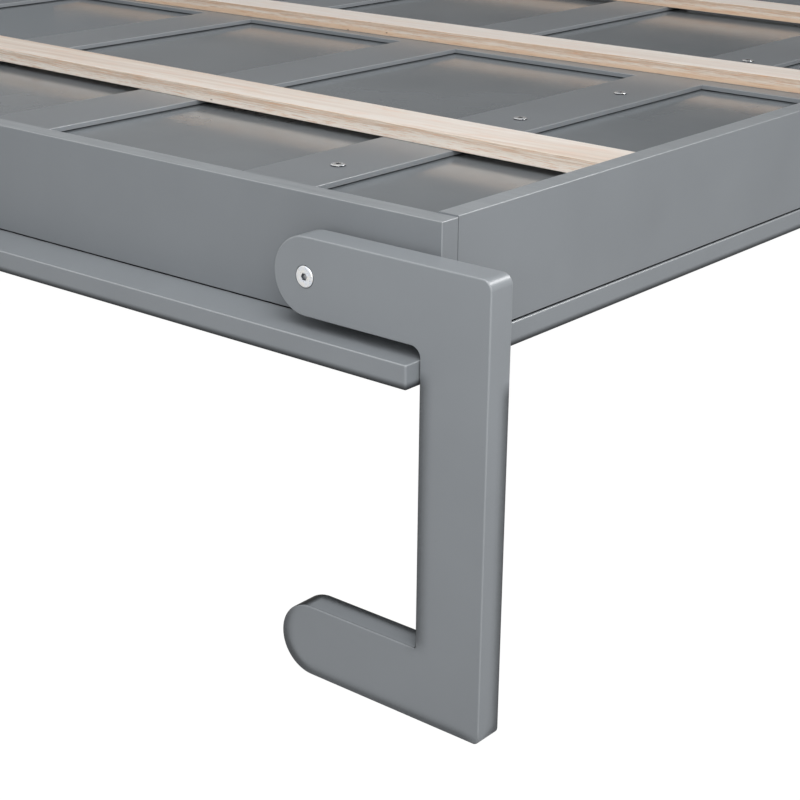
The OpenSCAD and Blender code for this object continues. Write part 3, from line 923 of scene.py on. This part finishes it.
bolts = clean_copy("pull_bolts")
head_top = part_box("pull_bolts")[1][2]
middle_of = {}
for verts in solids_of(bolts):
    middle = sum((v.co for v in verts), Vector()) / len(verts)
    middle_of.update((v, middle) for v in verts)


def head_rim(edge):
    return all(v.co.z > head_top - 0.05 * MM
               and (v.co - middle_of[v]).xy.length > 5 * MM for v in edge.verts)


count = ease(bolts, head_rim, HEAD_EASE, segments=4)
stand_for(bolts, "pull_bolts", head_zinc)
print("pull bolts rounded along", count, "edges")

# %% [markdown]
# ## The legs
#
# Each leg is sawn from a thick board in one C shape and rounded along its outline. The hole for
# the pivot keeps its crisp rim, because it is drilled after painting. The outline is told apart
# from the hole by its distance from the pivot's axis.

# %% Ease the legs
LEG_EASE = 1.1 * MM
for end in ENDS:
    name = "leg_" + end
    low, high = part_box(name)
    hole_low, hole_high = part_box("leg_sleeve_" + end)
    axis = Vector(((hole_low[0] + hole_high[0]) / 2, 0, (hole_low[2] + hole_high[2]) / 2))

    def round_leg(edge, axis=axis):
        return all(math.hypot(v.co.x - axis.x, v.co.z - axis.z) > 15 * MM for v in edge.verts)

    board = clean_copy(name)
    count = ease(board, round_leg, LEG_EASE)
    stand_for(board, name, painted_leg)
    print(name, "eased along", count, "edges")

# %% [markdown]
# ## The door
#
# The door's boards are glued, sanded flush and painted as one, so no joint shows between them,
# and the eased edges round each opening meet in a mitre. Rounding each board by itself would
# draw a line at every joint. Instead the whole frame is laid out as one flat grid, thickened and
# eased, and only then cut back into its boards. Each board still stands for its own node. The
# grid's last column is only 2 mm wide: there the ledges reach past the rest, to meet the legs.

# %% Lay out the door as one grid
DOOR_EASE = 0.8 * MM
CORNER_EASE = 1.5 * MM
battens = [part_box(name) for name in family("door_batten_")]
end_boards = [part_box(name) for name in family("door_end_")]
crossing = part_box("door_cross_rail_1")
panel_low, panel_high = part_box("door_panel_1")
door_low, door_high = end_boards[0][0], end_boards[0][1]
ledge_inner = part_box("end_rail_right")[1][1]
batten_spans = sorted((low[0], high[0]) for low, high in battens)
row_spans = sorted((low[1], high[1]) for low, high in end_boards + [crossing])
xs = sorted({round(x, 6) for span in batten_spans for x in span} | {round(door_high[0], 6)})
ys = sorted({round(y, 6) for span in row_spans for y in span}
            | {round(y, 6) for y in (-ledge_inner, ledge_inner)})
print("door grid:", len(xs), "lines across,", len(ys), "lines along")

# %% [markdown]
# The panels sit in a groove all round each opening. The room above them, with the eased lip of
# the groove, is the dark line at the foot of every wall. A flat grid can't hold a groove, so the
# door is stacked from three layers. The middle one has larger openings, by the groove's depth.

# %% The door's layers
GROOVE_DEEP = 9 * MM
GROOVE_ROOM = 1.5 * MM
GROOVE_TOP = panel_high[2] + GROOVE_ROOM
LAYERS = ((door_high[2], GROOVE_TOP, 0.0), (GROOVE_TOP, panel_low[2], GROOVE_DEEP),
          (panel_low[2], door_low[2], 0.0))


def grown(lines, spans, by):
    """The grid's lines, with every opening between two spans made larger on both sides."""
    starts = {round(low, 6) for low, high in spans[1:]}
    ends = {round(high, 6) for low, high in spans[:-1]}
    return [at + by if at in starts else at - by if at in ends else at for at in lines]


def within(at, spans):
    return any(low < at < high for low, high in spans)


def is_board(x, y):
    """Whether a cell of the grid, given by its middle, is wood and not an opening."""
    if x > batten_spans[-1][1]:
        return abs(y) > ledge_inner
    return within(x, batten_spans) or within(y, row_spans)


print(f"the grooves' tops are {1000 * (door_high[2] - GROOVE_TOP):.1f} mm below the door's")

# %% Stack the door


def door_layer(top, bottom, opening):
    """One flat layer of the door's frame, its outline eased where it meets the air."""
    mesh = bmesh.new()
    across, along = grown(xs, batten_spans, opening), grown(ys, row_spans, opening)
    corners = {(i, j): mesh.verts.new((x, y, top)) for i, x in enumerate(across)
               for j, y in enumerate(along)}
    for i in range(len(xs) - 1):
        for j in range(len(ys) - 1):
            if is_board((xs[i] + xs[i + 1]) / 2, (ys[j] + ys[j + 1]) / 2):
                mesh.faces.new([corners[i, j], corners[i + 1, j], corners[i + 1, j + 1],
                                corners[i, j + 1]])
    loose = [v for v in mesh.verts if not v.link_faces]
    bmesh.ops.delete(mesh, geom=loose, context="VERTS")
    made = bmesh.ops.extrude_face_region(mesh, geom=mesh.faces[:])
    down = [v for v in made["geom"] if isinstance(v, bmesh.types.BMVert)]
    bmesh.ops.translate(mesh, verts=down, vec=(0, 0, bottom - top))
    bmesh.ops.recalc_face_normals(mesh, faces=mesh.faces)

    def corner(edge):
        a, b = (v.co for v in edge.verts)
        return (abs(a.z - b.z) > 1e-6 and min(abs(a.x - x) for x in (xs[0], xs[-1])) < 1e-5
                and min(abs(abs(a.y) - y) for y in (ys[-1], ledge_inner)) < 1e-5)

    def level(edge):
        a, b = (v.co.z for v in edge.verts)
        return abs(a - b) < 1e-6 and min(abs(a - z) for z in (door_high[2], door_low[2])) < 1e-6

    count = ease(mesh, corner, CORNER_EASE, thinned=0.1) + ease(mesh, level, DOOR_EASE)
    print("layer eased along", count, "edges")
    return mesh


DOOR_LAYERS = [door_layer(*layer) for layer in LAYERS]

# %% Cut the grid back into its boards


def cut_board(low, high):
    """The part of the door between two corners, with its cut ends closed."""
    whole = bmesh.new()
    for layer in DOOR_LAYERS:
        mesh = layer.copy()
        for axis in (0, 1):
            for side, limit in ((-1, low[axis]), (1, high[axis])):
                place, way = Vector(), Vector()
                place[axis], way[axis] = limit, side
                bmesh.ops.bisect_plane(mesh, geom=mesh.verts[:] + mesh.edges[:] + mesh.faces[:],
                                       dist=1e-6, plane_co=place, plane_no=way, clear_outer=True)
                rim = [e for e in mesh.edges if e.is_boundary]
                bmesh.ops.holes_fill(mesh, edges=rim, sides=0)
        data = bpy.data.meshes.new("layer")
        mesh.to_mesh(data)
        mesh.free()
        whole.from_mesh(data)
        bpy.data.meshes.remove(data)
    return whole


for name in family("door_end_") + family("door_batten_") + family("door_cross_rail_"):
    low, high = (Vector(corner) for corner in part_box(name))
    if "batten" in name:
        low.y, high.y = row_spans[0][1], row_spans[-1][0]
    if "cross" in name:
        middle = (low.x + high.x) / 2
        low.x = max(x for x in xs if x < middle)
        high.x = min(x for x in xs if x > middle)
    board = cut_board(low, high)
    open_edges = sum(e.is_boundary for e in board.edges)
    stand_for(board, name, painted_door)
    print(name, "cut, with", open_edges, "open edges")
for layer in DOOR_LAYERS:
    layer.free()

# %% [markdown]
# ## Floor and backdrop
#
# The floor is a plain pale sheet. To the eye it should be white right to the horizon. More light
# would burn out the bed, so the camera sees a plain white glow instead. Only a twentieth of what it
# sees is the lit floor, and at that share the bed's shadow can't be seen: a lower FLOOR_GLOW brings
# it back. Every other ray meets a sheet with a dimmer light of its own, and glossy paint sees it
# dimmer still, so that the boards' lower edges stay dark.

# %% Floor
FLOOR_SIZE = 60.0
FLOOR_DROP = 0.5 * MM
FLOOR_WHITE = 1.05
FLOOR_GLOW = 0.95
FLOOR_BOUNCE = 0.65
FLOOR_GLOSS = 0.3


def pale_floor():
    mesh = bmesh.new()
    bmesh.ops.create_grid(mesh, x_segments=1, y_segments=1, size=FLOOR_SIZE / 2)
    data = bpy.data.meshes.new("studio_floor")
    mesh.to_mesh(data)
    mesh.free()
    floor = bpy.data.objects.new("studio_floor", data)
    floor.location.z = -FLOOR_DROP
    bpy.context.scene.collection.objects.link(floor)
    made, tree, where = new_material("pale_studio_floor")
    rays = add(tree, "LightPath")
    tint = blend_colours(tree, noise(tree, where, 3), [0.84, 0.84, 0.84, 1], [0.86, 0.86, 0.86, 1])
    matte = add(tree, "BsdfDiffuse", {"Color": tint})
    white = add(tree, "Emission", {"Color": [1, 1, 1, 1], "Strength": FLOOR_WHITE})
    seen = add(tree, "MixShader", {0: FLOOR_GLOW, 1: matte.outputs[0], 2: white.outputs[0]})
    level = remap(tree, rays.outputs["Is Glossy Ray"], 0, 1, FLOOR_BOUNCE, FLOOR_GLOSS)
    lit = add(tree, "Emission", {"Color": [1, 1, 1, 1], "Strength": level})
    mixed = add(tree, "MixShader", {0: rays.outputs["Is Camera Ray"], 1: lit.outputs[0],
                                    2: seen.outputs[0]})
    surface(tree, mixed.outputs[0])
    floor.data.materials.append(made)
    return floor


studio_floor = pale_floor()
print(studio_floor.name, "laid,", FLOOR_SIZE, "m across")

# %% [markdown]
# ## Light
#
# Painted board shows its shape through slow changes of tone, so the light is large and soft. It
# comes from the whole room, but not evenly: a few broad glows sit at different heights and sides.
# Each is a lobe that fades away from its own direction, and is given by that direction, by how
# narrow it is and by its strength. The camera doesn't see the room, only a clean white instead.

# %% World
ROOM_BASE = 0.01
ROOM_LOBES = {
    "ceiling": ((0.0, 0.0, 1.0), 2.0, 0.03),
    "front_high": ((0.0, -0.8, 0.6), 3.0, 0.33),
    "far_side": ((0.0, 0.8, 0.6), 3.0, 0.03),
    "wall_side": ((-0.8, 0.0, 0.6), 3.0, 0.65),
    "free_low": ((1.0, 0.0, 0.15), 3.0, 1.75),
}


def bright_room(base, lobes):
    world = bpy.data.worlds.new("bright_room")
    bpy.context.scene.world = world
    world.use_nodes = True
    tree = world.node_tree
    tree.nodes.clear()
    looking = add(tree, "TexCoord").outputs["Generated"]
    total = add(tree, "CombineXYZ", {"X": base, "Y": base, "Z": base}).outputs["Vector"]
    for direction, narrowness, strength in lobes.values():
        toward = vector(tree, "DOT_PRODUCT", looking, Vector(direction).normalized())
        glow = maths(tree, "POWER", maths(tree, "MAXIMUM", toward, 0.0), narrowness)
        lobe = add(tree, "VectorMath", {0: [strength] * 3, "Scale": glow},
                   operation="SCALE").outputs["Vector"]
        total = vector(tree, "ADD", total, lobe)
    room = add(tree, "Background", {"Color": total, "Strength": 1.0})
    white = add(tree, "Background", {"Color": [1, 1, 1, 1], "Strength": 1.0})
    mixed = add(tree, "MixShader", {0: add(tree, "LightPath").outputs["Is Camera Ray"],
                                    1: room.outputs[0], 2: white.outputs[0]})
    add(tree, "OutputWorld", {"Surface": mixed.outputs[0]})


bright_room(ROOM_BASE, ROOM_LOBES)
print("room light from", len(ROOM_LOBES), "sides")

# %% [markdown]
# Three lamps stand round the free corner. The overhead softbox draws the crisp bright line on each
# eased edge. The near one lifts the fronts of the boards, but seen from the wall side the glossy
# panels mirror it as wide white patches. The last is a glint: it is switched off for matte light,
# so it shows only as a reflection in glossy paint and bright bolts.

# %% Softboxes
CORNER = Vector((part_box("front_rail")[1][0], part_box("end_rail_left")[0][1], DECK))


def softbox(name, place, target, width, height, power, matte):
    data = bpy.data.lights.new(name, "AREA")
    data.shape = "RECTANGLE"
    data.size = width
    data.size_y = height
    data.energy = power
    lamp = bpy.data.objects.new(name, data)
    lamp.visible_diffuse = matte
    lamp.location = place
    lamp.rotation_euler = (target - lamp.location).to_track_quat("-Z", "Y").to_euler()
    bpy.context.scene.collection.objects.link(lamp)
    return lamp


SOFTBOXES = {
    "overhead_softbox": ((0.5, -0.6, 2.1), (-0.2, 0.3, 0.0), 1.8, 1.8, 36, True),
    "near_softbox": ((1.0, -1.2, 0.9), (0.0, 0.0, 0.0), 1.2, 1.2, 14.5, True),
    "far_glint": ((0.9, 2.0, 1.6), (0.0, 0.0, 0.0), 0.9, 0.6, 36, False),
}
for name, (place, target, width, height, power, matte) in SOFTBOXES.items():
    softbox(name, CORNER + Vector(place), CORNER + Vector(target), width, height, power, matte)
print("softboxes hung over the corner at", [round(v, 3) for v in CORNER])

# %% [markdown]
# ## Camera
#
# The camera stands low, off the free corner, and looks along both rails at once. A long lens
# keeps the rails nearly parallel. Its heading, dip and tilt are given as angles, and turned into
# the three directions that make up its matrix.

# %% Camera
HEADING, DIP, TILT = (math.radians(a) for a in (39.274, 20.449, 0.709))
LENS = 80.983
CAMERA_OFFSET = Vector((0.727031, -0.931931, 0.402942))

ahead = Vector((-math.sin(HEADING) * math.cos(DIP), math.cos(HEADING) * math.cos(DIP),
                -math.sin(DIP)))
level_right = Vector((math.cos(HEADING), math.sin(HEADING), 0))
level_up = level_right.cross(ahead)
right = math.cos(TILT) * level_right + math.sin(TILT) * level_up
up = math.cos(TILT) * level_up - math.sin(TILT) * level_right
camera = bpy.data.objects.new("camera", bpy.data.cameras.new("camera"))
camera.data.lens = LENS
camera.data.sensor_width = 36.0
camera.data.clip_end = 100
axes = Matrix((right, up, -ahead)).transposed().to_4x4()
camera.matrix_world = Matrix.Translation(CORNER + CAMERA_OFFSET) @ axes
bpy.context.scene.collection.objects.link(camera)
bpy.context.scene.camera = camera
bpy.context.scene.view_settings.view_transform = "Standard"
print("camera at", [round(v, 3) for v in camera.matrix_world.translation])
